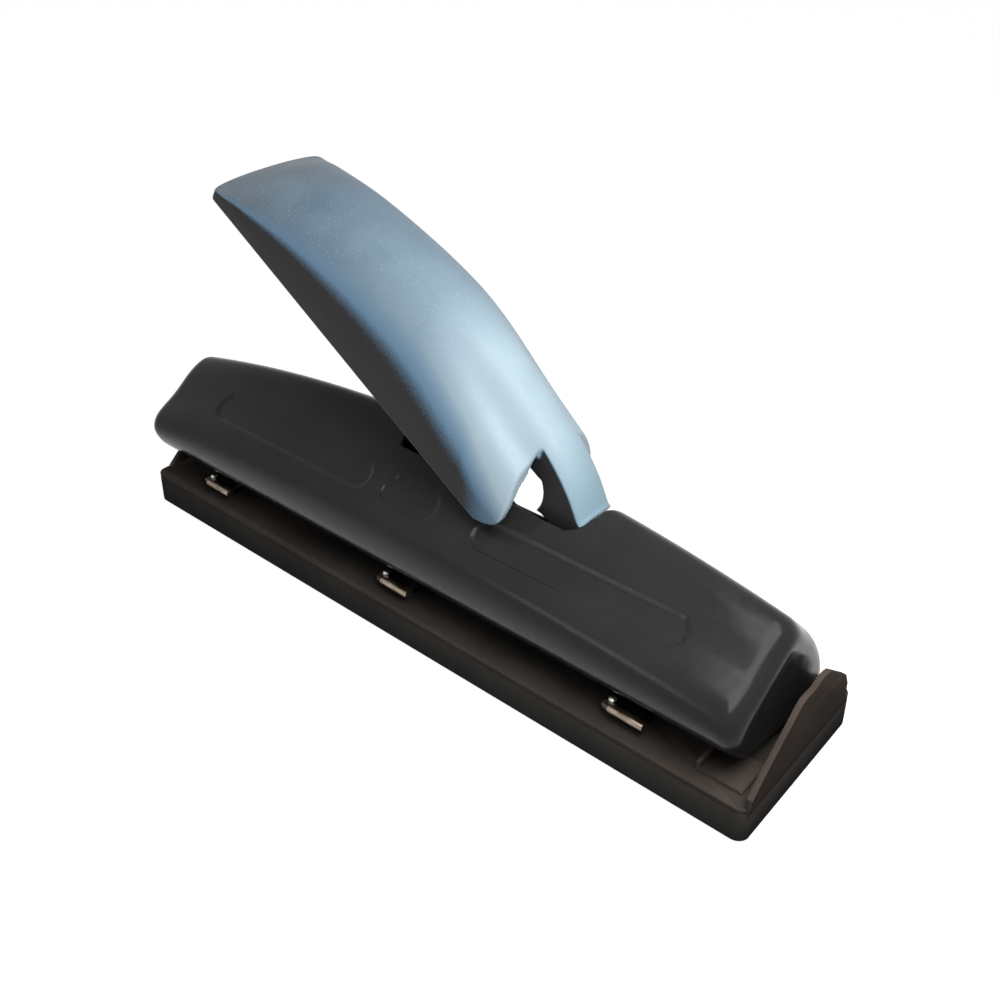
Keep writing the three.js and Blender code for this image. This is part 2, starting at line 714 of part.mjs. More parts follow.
function shellSection(x, inset) {
  const steps = 24;
  const from_end = Math.min(x + shell_free_end - inset, shell_corner_radius);
  const corner = shell_corner_radius - Math.sqrt(Math.max(shell_corner_radius ** 2
    - (shell_corner_radius - Math.max(from_end, 0)) ** 2, 0));
  const half_width = shell_half_width - inset - corner;
  const edge_share = (x + shell_free_end) / (shell_free_end + shell_heel_end);
  const edge = shell_edge_free + (shell_edge_heel - shell_edge_free) * Math.min(1, 1.6 * edge_share) - inset;
  const rise = crownHeight(x) - inset - edge;
  const near_heel = smoothStep(1 + x / valley_length);
  const depth = valley_depth * near_heel;
  const power = 2 / (shell_roundness + (heel_roundness - shell_roundness) * near_heel);
  const arch = Array.from({ length: steps + 1 }, (unused, step) => {
    const angle = Math.PI * step / steps;
    const across = Math.abs(Math.cos(angle)) ** power * Math.sign(Math.cos(angle));
    const up = Math.abs(Math.sin(angle)) ** power;
    const y = half_width * across;
    const valley = depth * Math.exp(-(((Math.abs(y) - valley_place) / valley_width) ** 2));
    return [x, y, edge + rise * up - valley];
  });
  const bottom = inset > 0 ? shell_underside - overrun : shell_underside;
  return [...arch, [x, -half_width, bottom], [x, half_width, bottom]];
}

function shellPlaces(start, end) {
  const end_shares = [0, 0.012, 0.03, 0.055];
  const length = end - start;
  const steps = 18;
  const even = Array.from({ length: steps }, (unused, step) => end_shares[3] + (1 - end_shares[3]) * (step + 1) / steps);
  return [...end_shares, ...even].map((share) => start + share * length);
}

function tongueSide() {
  const shape = new THREE.Shape();
  const tip = shell_heel_end + fit;
  const tip_height = finger_arc_height + tongue_half_width;
  shape.moveTo(-tongue_half_width, shell_peak);
  shape.lineTo(-tongue_half_width, knob_height);
  shape.lineTo(knob_reach, knob_height);
  shape.absarc(finger_arc_x, finger_arc_height, finger_arc_radius, 0.317 * Math.PI, -0.05 * Math.PI, true);
  shape.quadraticCurveTo(finger_arc_x + finger_arc_radius, tongue_low_height, tongue_low_x, tongue_low_height);
  shape.quadraticCurveTo(tip - fit, tongue_low_height, tip, tip_height);
  shape.lineTo(tip, shell_peak);
  return shape;
}

function lobeCut() {
  const shape = new THREE.Shape();
  shape.moveTo(notch_start, shell_peak + overrun);
  shape.lineTo(notch_start, notch_height);
  shape.splineThru([...lobe_outline, [lobe_foot, shell_underside - seat]]
    .map(([x, z]) => new THREE.Vector2(x, z)));
  shape.lineTo(lobe_foot, shell_underside - overrun);
  shape.lineTo(shell_heel_end + overrun, shell_underside - overrun);
  shape.lineTo(shell_heel_end + overrun, shell_peak + overrun);
  return shape;
}

function leverShell() {
  const outer = loft(shellPlaces(-shell_free_end, shell_heel_end).map((x) => shellSection(x, 0)));
  const inner = loft(shellPlaces(-shell_free_end + shell_wall, shell_heel_end - shell_wall)
    .map((x) => shellSection(x, shell_wall)));
  const cut = lobeCut();
  const sides = [-1, 1].map((side) => {
    const near = side * tongue_half_width;
    const far = side * (shell_half_width + overrun);
    return alongY(cut, Math.min(near, far), Math.max(near, far));
  });
  const under_tongue = block(
    [notch_start, -tongue_half_width, shell_underside - overrun],
    [shell_heel_end + overrun, tongue_half_width, under_tongue_height],
  );
  const cheeks = [-1, 1].map((side) => {
    const near = side * (tongue_half_width - tongue_wall);
    const far = side * tongue_half_width;
    return alongY(tongueSide(), Math.min(near, far), Math.max(near, far)).intersect(outer);
  });
  const end_notch = block(
    [-shell_free_end - fit, -shell_half_width + shell_corner_radius, shell_underside - fit],
    [-shell_free_end + shell_wall + fit, shell_half_width - shell_corner_radius,
      crownHeight(-shell_free_end) - shell_end_wall_depth],
  );
  const middle = (arm_front_y + arm_back_y) / 2;
  const bosses = leverScrewPlaces().map((x) => rod(lever_boss_radius, arm_web_height + arm_web_thickness + fit,
    shell_peak).translate([x, middle, 0]).intersect(outer));
  const boss_holes = leverScrewPlaces().map((x) => rod(lever_screw_radius + fit, arm_web_height,
    arm_web_height + arm_web_thickness + 2 * fit + lever_screw_bite, small_round_sides).translate([x, middle, 0]));
  return outer.subtract(inner).subtract(wasm.Manifold.union(sides)).subtract(under_tongue).subtract(end_notch)
    .add(wasm.Manifold.union(cheeks)).add(wasm.Manifold.union(bosses)).subtract(wasm.Manifold.union(boss_holes));
}

// Cover: sections from shares of its depth and its height over the plate, at the ends and in the middle
const end_section_shares = [
  [0.113, 0.168], [0.035, 0.263], [0, 0.367], [0.032, 0.448], [0.217, 0.566], [0.359, 0.67], [0.44, 0.71],
  [0.494, 0.72], [0.55, 0.7], [0.667, 0.591], [0.852, 0.407], [0.962, 0.243], [1, 0.095], [1, 0],
];
const middle_section_shares = [
  [0.113, 0.168], [0.03, 0.285], [0, 0.555], [0.067, 0.643], [0.243, 0.772], [0.396, 0.889], [0.47, 0.965],
  [0.525, 0.995], [0.59, 0.97], [0.7, 0.86], [0.862, 0.63], [0.955, 0.38], [1, 0.13], [1, 0],
];

function middleShare(x) {
  const drop = (x - cover_crest_x) ** 2 / (2 * cover_arch_radius);
  const full = (cover_crest - cover_bottom) * (1 - cover_end_share);
  return Math.max(1 - drop / full, 0);
}

function coverSection(x, inset) {
  const steps = 24;
  const share = middleShare(x);
  const height = cover_crest - cover_bottom;
  const curve = new THREE.CatmullRomCurve3(end_section_shares.map(([depth_share, rise_share], place) => {
    const [middle_depth_share, middle_rise_share] = middle_section_shares[place];
    const depth = (depth_share + (middle_depth_share - depth_share) * share) * cover_depth;
    const rise = (rise_share + (middle_rise_share - rise_share) * share) * height;
    return new THREE.Vector3(x, cover_front_y + depth, cover_bottom + rise);
  }), false, 'centripetal');
  const from_end = cover_half_length - inset - Math.abs(x - cover_middle);
  const rounding = cover_end_radius - Math.sqrt(Math.max(cover_end_radius ** 2
    - Math.max(cover_end_radius - from_end, 0) ** 2, 0));
  const pull = inset + rounding;
  const middle_y = cover_front_y + cover_depth / 2;
  const wide_share = 1 - 2 * pull / cover_depth;
  const tall_share = 1 - pull / (height * (cover_end_share + (1 - cover_end_share) * share));
  const points = curve.getPoints(steps).map((point) => [
    x, middle_y + (point.y - middle_y) * wide_share, cover_bottom + (point.z - cover_bottom) * tall_share,
  ]);
  if (inset === 0) return points;
  const first = points[0];
  const last = points[points.length - 1];
  return [[x, first[1], first[2] - overrun], ...points, [x, last[1], last[2] - overrun]];
}

function coverBody(inset) {
  const half = cover_half_length - inset;
  const end_shares = [1, 0.996, 0.985, 0.965, 0.94, 0.86];
  const middle_shares = [0.74, 0.62, 0.5, 0.38, 0.25, 0.12];
  const right = [...end_shares, ...middle_shares].map((share) => half * share);
  const places = [...right.map((x) => -x), 0, ...right.reverse()];
  return loft(places.map((x) => coverSection(cover_middle + x, inset)));
}

// The saddle for the lever's tongue: a trough over the crest that falls away behind it
function saddleTrough(clearance) {
  const corner_rows = [[0, 1], [0.25, 0.5], [0.6, 0.15]];
  const rows = [
    ...corner_rows.map(([run_share, pull_share]) => [
      saddle_from_front - clearance + run_share * saddle_corner, pull_share * saddle_corner]),
    [saddle_bend_from_front, 0],
    [base_depth + overrun, 0],
  ];
  const floor = hinge_height + saddle_floor_over_hinge - clearance;
  const steps = 5;
  const flank = Array.from({ length: steps + 1 }, (unused, step) => {
    const angle = Math.PI / 2 * step / steps;
    return [saddle_flank * Math.sin(angle), saddle_flank_rise * (1 - Math.cos(angle))];
  });
  const lean_share = 0.8;
  const top = overrun * 2;
  return loft(rows.map(([from_front, pull]) => {
    const behind = Math.max(from_front - saddle_bend_from_front, 0);
    const left = hinge_x + saddle_left_from_hinge - clearance - behind * saddle_back_spread;
    const right = hinge_x + saddle_right_from_hinge + clearance - pull;
    const outline = [
      ...flank.map(([run, rise]) => [right + run, rise]),
      [right + saddle_flank + (top - saddle_flank_rise) * lean_share, top],
      [left - saddle_left_flank - (top - saddle_flank_rise) * lean_share, top],
      ...flank.map(([run, rise]) => [left - run * saddle_left_flank / saddle_flank, rise]).reverse(),
    ];
    return outline.map(([x, rise]) => [x, front + from_front, floor + rise - behind * saddle_back_slope]);
  }));
}

function recessOutline(start, end) {
  const steps = 10;
  const radius = recess_width / 2;
  const half_turn = (centre, from_angle) => Array.from({ length: steps + 1 }, (unused, step) => {
    const angle = from_angle + Math.PI * step / steps;
    return [centre + radius * Math.cos(angle), radius * Math.sin(angle)];
  });
  const straight = Array.from({ length: steps - 1 }, (unused, step) => (
    start + radius + (end - start - 2 * radius) * (step + 1) / steps));
  const points = [
    ...half_turn(end - radius, -Math.PI / 2), ...straight.slice().reverse().map((x) => [x, radius]),
    ...half_turn(start + radius, Math.PI / 2), ...straight.map((x) => [x, -radius]),
  ];
  return shapeOf(points.map(([x, y]) => (
    [x, front + recess_from_front + recess_back_shift * (1 - middleShare(x)) + y])));
}

const recess_length_shares = [[-0.757, -0.116], [-0.066, 0.115], [0.234, 0.811]];

function cover() {
  const trough = saddleTrough(0);
  const skin = coverBody(0).subtract(trough);
  const hollow = coverBody(cover_wall).subtract(saddleTrough(saddle_wall));
  const lowered = skin.translate([0, 0, -recess_depth]);
  const recesses = recess_length_shares.map(([start_share, end_share]) => alongZ(
    recessOutline(cover_middle + start_share * cover_half_length, cover_middle + end_share * cover_half_length),
    plate_top,
    cover_crest + overrun,
  ).subtract(lowered));
  const opening_left = hinge_x + opening_left_from_hinge;
  const opening_right = hinge_x + opening_right_from_hinge;
  const opening_shape = roundedBox((opening_right - opening_left) / 2,
    (arm_back_y - arm_front_y) / 2 + opening_side_gap, opening_corner);
  const opening = alongZ(opening_shape, hinge_height, cover_crest + overrun)
    .translate([(opening_left + opening_right) / 2, (arm_front_y + arm_back_y) / 2, 0]);
  const throat = block([-base_length, front - overrun, -overrun], [base_length, front, cover_crest]);
  const bosses = screw_places.map((x) => rod(screw_boss_radius, cover_bottom, cover_crest)
    .translate([x, screw_y, 0]).intersect(skin));
  const holes = screw_places.map((x) => rod(screw_radius + fit, 0, cover_bottom + screw_bite + fit, small_round_sides)
    .translate([x, screw_y, 0]));
  return skin.subtract(hollow).subtract(wasm.Manifold.union(recesses)).subtract(opening).subtract(throat)
    .add(wasm.Manifold.union(bosses)).subtract(wasm.Manifold.union(holes));
}

// Stops for the paper's back edge and right edge
function paperStop() {
  const low = plate_top + seat;
  const high = slot_top - fit;
  const start = -base_length / 2 + left_cheek_inset + cheek_thickness + bend_radius + fit;
  const end = station_offset + paper_half_width - fit;
  return alongX(shapeOf([
    [stop_y, low], [stop_y + paper_stop_foot, low], [stop_y + paper_stop_foot, low + paper_stop_sheet],
    [stop_y + paper_stop_sheet, low + paper_stop_sheet], [stop_y + paper_stop_sheet, high], [stop_y, high],
  ]), start, end);
}

function edgeStop() {
  const low = plate_top + seat;
  const high = slot_top - fit;
  const face = station_offset + paper_half_width;
  const start = front + edge_stop_from_front;
  const foot_end = base_length / 2 - rim_draft - cheek_thickness - edge_stop_from_cheek;
  return alongY(shapeOf([
    [face, low], [foot_end, low], [foot_end, low + edge_stop_sheet / 2],
    [foot_end - edge_stop_sheet / 2, low + edge_stop_sheet],
    [face + edge_stop_sheet, low + edge_stop_sheet], [face + edge_stop_sheet, high], [face, high],
  ]), start, start + edge_stop_depth);
}

// Assembly
function piece(name, body, material) {
  const mesh = new THREE.Mesh(geometryOf(body), material);
  mesh.name = name;
  return mesh;
}

const punchUnit = new THREE.Group();
const group = punchUnit;
group.add(piece('base_tray', baseTray(), black_plastic));
const foot_names = ['foot_front_left', 'foot_front_right', 'foot_rear_left', 'foot_rear_right'];
footPlaces().forEach(([x, y], place) => {
  const foot = piece(foot_names[place], rod(foot_radius, 0, foot_thickness), rubber);
  foot.position.set(x, y, 0);
  group.add(foot);
});
group.add(piece('steel_frame', steelFrame(), dark_steel));
group.add(piece('paper_stop', paperStop(), zinc));
group.add(piece('edge_stop', edgeStop(), dark_steel));

const spring = returnSpring();
console.log('least gap between spring turns, mm', spring.gap.toFixed(2));
stations.forEach((x, place) => {
  const name = station_names[place];
  const die = piece('die_bush_' + name, dieBush(), tool_steel);
  die.position.set(x, punch_y, 0);
  const at_station = [
    piece('punch_guide_' + name, punchGuide(), zinc),
    piece('guide_rivet_' + name, guideRivet(), zinc),
    piece('punch_' + name, punch(), tool_steel),
    piece('return_spring_' + name, spring.body, spring_steel),
  ];
  at_station.forEach((mesh) => mesh.position.set(x, 0, 0));
  group.add(die, ...at_station);
});

group.add(piece('press_beam', pressBeam(), zinc));
group.add(piece('hinge_bracket', hingeBracket(), zinc));
group.add(piece('hinge_pin', hingePin(), tool_steel));
group.add(piece('hinge_clip_front', hingeClip(ear_front_y - clip_thickness - fit), spring_steel));
group.add(piece('hinge_clip_rear', hingeClip(ear_back_y + ear_sheet + fit), spring_steel));
group.add(piece('cover', cover(), black_gloss));
group.add(piece('cover_screw_right', coverScrew(screw_places[1]), tool_steel));
group.add(piece('cover_screw_left', coverScrew(screw_places[0]), tool_steel));

const lever = new THREE.Group();
lever.position.set(hinge_x, 0, hinge_height);
lever.rotation.y = lever_raise;
lever.add(piece('lever_shell', leverShell(), blue_grey));
lever.add(piece('lever_arm', leverArm(), zinc));
lever.add(piece('press_pin', pressPin(), tool_steel));
leverScrewPlaces().forEach((x, place) => {
  lever.add(piece(['lever_screw_heel', 'lever_screw_front'][place], leverScrew(x), tool_steel));
});
group.add(lever);

export default group;
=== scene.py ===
import json
import math

import bmesh
import bpy
from mathutils import Matrix, Vector


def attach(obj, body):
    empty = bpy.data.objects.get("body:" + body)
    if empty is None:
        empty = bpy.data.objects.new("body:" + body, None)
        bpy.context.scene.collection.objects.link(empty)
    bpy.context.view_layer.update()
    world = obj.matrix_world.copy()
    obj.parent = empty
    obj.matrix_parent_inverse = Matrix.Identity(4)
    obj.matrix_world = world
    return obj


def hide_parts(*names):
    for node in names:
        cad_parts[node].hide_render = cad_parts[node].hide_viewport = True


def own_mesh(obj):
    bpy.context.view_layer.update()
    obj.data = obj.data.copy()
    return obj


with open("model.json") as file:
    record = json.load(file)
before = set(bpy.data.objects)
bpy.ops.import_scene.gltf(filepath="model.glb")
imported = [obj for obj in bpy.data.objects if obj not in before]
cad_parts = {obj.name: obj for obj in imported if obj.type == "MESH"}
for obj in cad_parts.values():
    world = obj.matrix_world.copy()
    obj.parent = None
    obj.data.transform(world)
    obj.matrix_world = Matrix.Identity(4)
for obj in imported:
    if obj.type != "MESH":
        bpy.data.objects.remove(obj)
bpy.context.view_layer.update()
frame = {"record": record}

mm = 0.001

# Sizes in millimetres, nearly all as in the part's source. There the lever's heel ends at 30, its third
# crown share is 0.65 and its lobes have one point fewer
fit = 0.3
overrun = 30.0
base_depth = 73.7
front = -base_depth / 2
plate_top = 14.9
cover_bottom = plate_top + fit
hinge_x = 16.2
hinge_height = 51.5

# Lever shell, in the lever's own frame with its hinge at the origin
lever_raise = math.radians(34.3)
shell_half_width = 26.0
shell_wall = 2.5
shell_underside = 20.5
shell_free_end = 149.0
shell_crown_end = 30.0
shell_heel_end = 31.4
shell_peak = 63.4
shell_edge_heel = 28.5
shell_edge_free = 24.7
shell_edge_rise_rate = 1.6
shell_corner_radius = 2.0
shell_corner_steps = 8
shell_steps = 110
shell_roundness = 2.02
heel_roundness = 1.7
shell_end_margin = 4.0
valley_depth = 3.2
valley_width = 4.6
valley_place = 13.2
valley_length = 62.0
crown_shares = [
    (0, 0.445), (0.035, 0.54), (0.08, 0.643), (0.19, 0.795), (0.32, 0.905), (0.46, 0.98), (0.6, 1),
    (0.765, 0.945), (0.865, 0.89), (0.94, 0.81), (1, 0.705),
]
crown_search_step = 1 / 16384

# Tongue and lobes at the lever's heel
tongue_half_width = 9.0
tongue_wall = 2.5
tongue_low = (21.0, 30.6)
under_tongue_height = 33.9
finger_arc = (2.8, 31.0, 12.9)
finger_arc_turns = (0.317, -0.05)
knob_reach = 8.6
knob_height = 41.3
notch_start = 2.4
notch_height = 54.0
lobe_outline = [
    (3, 50.6), (5.2, 45.6), (8, 41), (10.8, 36), (12.2, 30.5), (11.1, 26.6), (8.2, 23.2), (4, 20.4),
]
lobe_steps = 72
lobe_foot = 4.0

# Bosses for the two screws that hold the arm in the shell
arm_y = (-10.275, 1.625)
arm_web_top = 47.0
lever_screw_places = (-25.92, -61.92)
shell_boss_radius = 4.2
shell_hole_radius = 2.0
shell_hole_depth = 5.0
shell_hole_lead = 3.0

# Cover
cover_middle = -4.1
cover_half_length = 149.2
cover_front = front + 1.1
cover_depth = 65.4
cover_height = 78.7 - cover_bottom
cover_crest_x = 2.0
cover_arch_radius = 676.0
cover_end_radius = 6.5
cover_end_share = 0.72
cover_end_steps = 12
cover_half_steps = 60
cover_wall = 2.6
above_cover = 110.0
end_section_shares = [
    (0.113, 0.168), (0.035, 0.263), (0, 0.367), (0.032, 0.448), (0.217, 0.566), (0.359, 0.67), (0.44, 0.71),
    (0.494, 0.72), (0.55, 0.7), (0.667, 0.591), (0.852, 0.407), (0.962, 0.243), (1, 0.095), (1, 0),
]
middle_section_shares = [
    (0.113, 0.168), (0.03, 0.285), (0, 0.555), (0.067, 0.643), (0.243, 0.772), (0.396, 0.889), (0.47, 0.965),
    (0.525, 0.995), (0.59, 0.97), (0.7, 0.86), (0.862, 0.63), (0.955, 0.38), (1, 0.13), (1, 0),
]

# Recesses along the cover's front, with their ends as shares of the cover's half length
recess_spans = [(-0.757, -0.116), (-0.066, 0.115), (0.234, 0.811)]
recess_depth = 1.2
recess_radius = 5.0
recess_edge_margin = 0.5
recess_edge_width = 1.7
recess_from_front = 12.0
recess_drift_at_ends = 7.0
least_upward_share = 0.3

# Opening for the arm, and bosses for the two screws that come up through the plate
opening_corner_x = (-15, 25)
opening_corner_radius = 3
opening_corner_steps = 8
opening_clearance = 0.9
screw_from_end = 15.5
screw_boss_y = 20.65
cover_boss_radius = 4.4
cover_boss_top = 78
cover_hole_radius = 1.9
cover_hole_depth = 12.3

# Saddle where the lever's tongue goes, sunk into the cover's crest and back
saddle_from_front = 24.5
saddle_corner_radius = 6
saddle_corner_steps = 6
saddle_level_end = 35
saddle_left = hinge_x + 15.2
saddle_left_spread = 0.826
saddle_right = hinge_x + 39.8
saddle_floor = hinge_height + 8.5
saddle_floor_slope = 0.88
saddle_wall = 2.1
saddle_left_flank_share = 1 / 4
flank_run = 8
flank_rise = 6
flank_steps = 14
flank_top_rise = 60
flank_slope = 0.8

# Rolled lips of the guides: behind this band, measured from the base's front, the steel is painted nearly
# black as painted shade
lip_painted_shade_band = (7.6, 8.2)

# Finish of the meshes
weld_gap = 0.002
fine_weld_gap = 0.0005
flat_angle = math.radians(0.6)
sharp_angle = math.radians(32)
shell_voxel = 0.55
shell_smoothing = 6
cover_voxel = 0.6
cover_smoothing = 8
smoothing_factor = 0.5

# Paint, with places in metres: where edges are worn, and where the lever's colour runs along it as painted
# light, lighter near the heel as a painted highlight and darker towards the free end as painted shade. A side
# value says how far the lever's surface turns sideways, from 0 on its top to 1 on an upright side; by it the
# sides are painted blue and then nearly black as painted shade, less so at the lobes' tips
worn_pointiness = (0.52, 0.6)
# Painted light along the lever: from painted shade at the free end to a painted highlight near the heel
lever_painted_light_place = (-0.11, 0.07)
# Painted shade on the lever's sides: the blue band, the nearly black band, and how they shift along the lever
side_shade_blue_band = (0.84, 0.945)
side_shade_dark_band = (0.945, 0.985)
side_shade_shift_place = (-0.1, 0.02)
side_shade_shift = 0.025
side_shade_fleck = 0.04
# Painted light at the lobes' tips: less painted shade there
lobe_tip_light_from_middle = (0.011, 0.014)
lobe_tip_painted_light_place = (0.025, 0.042)
lobe_tip_painted_light_shift = -0.075


# Materials: small helpers for node trees. Object coordinates are in metres, so a noise's scale is per metre
def fresh(name):
    material = bpy.data.materials.new(name)
    material.use_nodes = True
    tree = material.node_tree
    shader = tree.nodes["Principled BSDF"]
    return material, tree, shader


def node(tree, kind, **values):
    made = tree.nodes.new(kind)
    for key, value in values.items():
        setattr(made, key, value)
    return made


def place(tree):
    return node(tree, "ShaderNodeTexCoord").outputs["Object"]


def noise(tree, scale, detail=4, rough=0.5, stretch=None):
    made = node(tree, "ShaderNodeTexNoise")
    made.inputs["Scale"].default_value = scale
    made.inputs["Detail"].default_value = detail
    made.inputs["Roughness"].default_value = rough
    source = place(tree)
    if stretch:
        mapping = node(tree, "ShaderNodeMapping")
        mapping.inputs["Scale"].default_value = stretch
        tree.links.new(source, mapping.inputs["Vector"])
        source = mapping.outputs["Vector"]
    tree.links.new(source, made.inputs["Vector"])
    return made.outputs["Fac"]


def ramp(tree, source, stops):
    made = node(tree, "ShaderNodeValToRGB")
    made.color_ramp.elements[0].position = stops[0][0]
    made.color_ramp.elements[0].color = (*stops[0][1], 1)
    made.color_ramp.elements[1].position = stops[-1][0]
    made.color_ramp.elements[1].color = (*stops[-1][1], 1)
    for position, color in stops[1:-1]:
        made.color_ramp.elements.new(position).color = (*color, 1)
    tree.links.new(source, made.inputs["Fac"])
    return made.outputs["Color"]


def span(tree, source, low, high, out_low, out_high):
    made = node(tree, "ShaderNodeMapRange", clamp=True)
    for key, value in zip(("From Min", "From Max", "To Min", "To Max"), (low, high, out_low, out_high)):
        made.inputs[key].default_value = value
    tree.links.new(source, made.inputs["Value"])
    return made.outputs["Result"]


# Inputs 6 and 7 of a mix node and its output 2 are its colours
def blend(tree, mask, first, second):
    made = node(tree, "ShaderNodeMix", data_type="RGBA")
    tree.links.new(mask, made.inputs["Factor"])
    for socket, value in ((made.inputs[6], first), (made.inputs[7], second)):
        if isinstance(value, tuple):
            socket.default_value = (*value, 1)
        else:
            tree.links.new(value, socket)
    return made.outputs[2]


def bump(tree, shader, parts):
    normal = None
    for source, strength, distance in parts:
        made = node(tree, "ShaderNodeBump")
        made.inputs["Strength"].default_value = strength
        made.inputs["Distance"].default_value = distance * mm
        tree.links.new(source, made.inputs["Height"])
        if normal:
            tree.links.new(normal, made.inputs["Normal"])
        normal = made.outputs["Normal"]
    tree.links.new(normal, shader.inputs["Normal"])


def wear(tree):
    pointed = node(tree, "ShaderNodeNewGeometry").outputs["Pointiness"]
    return span(tree, pointed, *worn_pointiness, 0, 1)


def axis_value(tree, axis):
    made = node(tree, "ShaderNodeSeparateXYZ")
    tree.links.new(place(tree), made.inputs["Vector"])
    return made.outputs[axis]


def maths(tree, operation, *values):
    made = node(tree, "ShaderNodeMath", operation=operation)
    for socket, value in zip(made.inputs, values):
        if isinstance(value, (int, float)):
            socket.default_value = value
        else:
            tree.links.new(value, socket)
    return made.outputs["Value"]


# Painted shade on the lever's sides: more as the surface turns sideways and towards the free end, speckled,
# and less at the lobes' tips as painted light
def painted_side_shade(tree, fleck):
    normal = node(tree, "ShaderNodeSeparateXYZ")
    tree.links.new(node(tree, "ShaderNodeTexCoord").outputs["Normal"], normal.inputs["Vector"])
    facing = maths(tree, "ABSOLUTE", normal.outputs["Y"])
    along = axis_value(tree, "X")
    lobe = span(tree, maths(tree, "ABSOLUTE", axis_value(tree, "Y")), *lobe_tip_light_from_middle, 0, 1)
    # Less painted shade at the lobes' tips: painted light there
    tip = maths(tree, "MULTIPLY", lobe, span(tree, along, *lobe_tip_painted_light_place, 0, lobe_tip_painted_light_shift))
    shifted = maths(tree, "ADD", facing, span(tree, along, *side_shade_shift_place, side_shade_shift, -side_shade_shift))
    return maths(tree, "ADD", shifted, maths(tree, "MULTIPLY_ADD", fleck, side_shade_fleck, tip))


def lever_paint():
    material, tree, shader = fresh("blue_grey_paint_with_painted_light_and_shade")
    cloud = noise(tree, 60, 3)
    fleck = noise(tree, 2200, 2, 0.6)
    # Painted light along the lever: lighter near the heel as a painted highlight, darker towards the free end
    # as painted shade
    along = span(tree, axis_value(tree, "X"), *lever_painted_light_place, 0, 1)
    base = ramp(tree, along, [
        (0, (0.16, 0.17, 0.185)), (0.35, (0.115, 0.18, 0.245)), (0.62, (0.185, 0.265, 0.33)),
        (0.78, (0.34, 0.44, 0.51)), (0.89, (0.33, 0.43, 0.5)), (1, (0.18, 0.3, 0.37)),
    ])
    clouded = blend(tree, span(tree, cloud, 0.35, 0.7, 0, 0.3), base, (0.25, 0.33, 0.4))
    flecked = blend(tree, span(tree, fleck, 0.62, 0.74, 0, 0.6), clouded, (0.5, 0.57, 0.64))
    side = painted_side_shade(tree, fleck)
    # The sides painted blue, then nearly black, as painted shade
    shade_blued = blend(tree, span(tree, side, *side_shade_blue_band, 0, 1), flecked, (0.13, 0.23, 0.34))
    side_shaded = blend(tree, span(tree, side, *side_shade_dark_band, 0, 1), shade_blued, (0.027, 0.026, 0.027))
    tree.links.new(side_shaded, shader.inputs["Base Color"])
    tree.links.new(span(tree, cloud, 0.3, 0.7, 0.4, 0.5), shader.inputs["Roughness"])
    shader.inputs["Specular IOR Level"].default_value = 0.16
    bump(tree, shader, [(fleck, 0.15, 0.05), (noise(tree, 700, 2), 0.05, 0.1)])
    return material


def cover_gloss():
    material, tree, shader = fresh("gloss_black_moulding")
    cloud = noise(tree, 40, 3)
    base = blend(tree, span(tree, cloud, 0.3, 0.7, 0, 1), (0.019, 0.019, 0.02), (0.025, 0.025, 0.026))
    tree.links.new(base, shader.inputs["Base Color"])
    tree.links.new(span(tree, noise(tree, 260, 4), 0.35, 0.7, 0.14, 0.24), shader.inputs["Roughness"])
    shader.inputs["Specular IOR Level"].default_value = 0.1
    bump(tree, shader, [(noise(tree, 1500, 2), 0.03, 0.03)])
    return material


def frame_paint():
    material, tree, shader = fresh("brown_black_baked_paint")
    cloud = noise(tree, 45, 4)
    stripe = noise(tree, 30, 3, 0.5, (0.6, 1.0, 9.0))
    base = blend(tree, span(tree, cloud, 0.3, 0.7, 0, 1), (0.04, 0.035, 0.032), (0.058, 0.05, 0.044))
    striped = blend(tree, span(tree, stripe, 0.55, 0.75, 0, 0.5), base, (0.09, 0.062, 0.048))
    edge = blend(tree, wear(tree), striped, (0.13, 0.1, 0.085))
    tree.links.new(edge, shader.inputs["Base Color"])
    shader.inputs["Specular IOR Level"].default_value = 0
    tree.links.new(span(tree, cloud, 0.3, 0.7, 0.2, 0.34), shader.inputs["Roughness"])
    bump(tree, shader, [(noise(tree, 900, 3), 0.08, 0.05)])
    return material


def metal(name, dark, bright, rough_low, rough_high, grain):
    material, tree, shader = fresh(name)
    brushed = noise(tree, 400, 5, 0.6, grain)
    cloud = noise(tree, 120, 4)
    base = blend(tree, span(tree, brushed, 0.35, 0.65, 0, 1), dark, bright)
    dulled = blend(tree, span(tree, cloud, 0.55, 0.75, 0, 0.35), base, tuple(value * 0.6 for value in dark))
    tree.links.new(dulled, shader.inputs["Base Color"])
    tree.links.new(span(tree, brushed, 0.3, 0.7, rough_low, rough_high), shader.inputs["Roughness"])
    shader.inputs["Metallic"].default_value = 1
    bump(tree, shader, [(brushed, 0.08, 0.04)])
    return material


# The metal's own colour on the lip in front, and painted shade behind it: nearly black where the guide runs
# in under the cover
def shade_behind_lip(material):
    tree = material.node_tree
    shader = tree.nodes["Principled BSDF"]
    bare = shader.inputs["Base Color"].links[0].from_socket
    start, end = ((front + value) * mm for value in lip_painted_shade_band)
    # Painted shade: nearly black behind the lip
    behind = span(tree, axis_value(tree, "Y"), start, end, 0, 1)
    tree.links.new(blend(tree, behind, bare, (0.035, 0.032, 0.03)), shader.inputs["Base Color"])
    return material


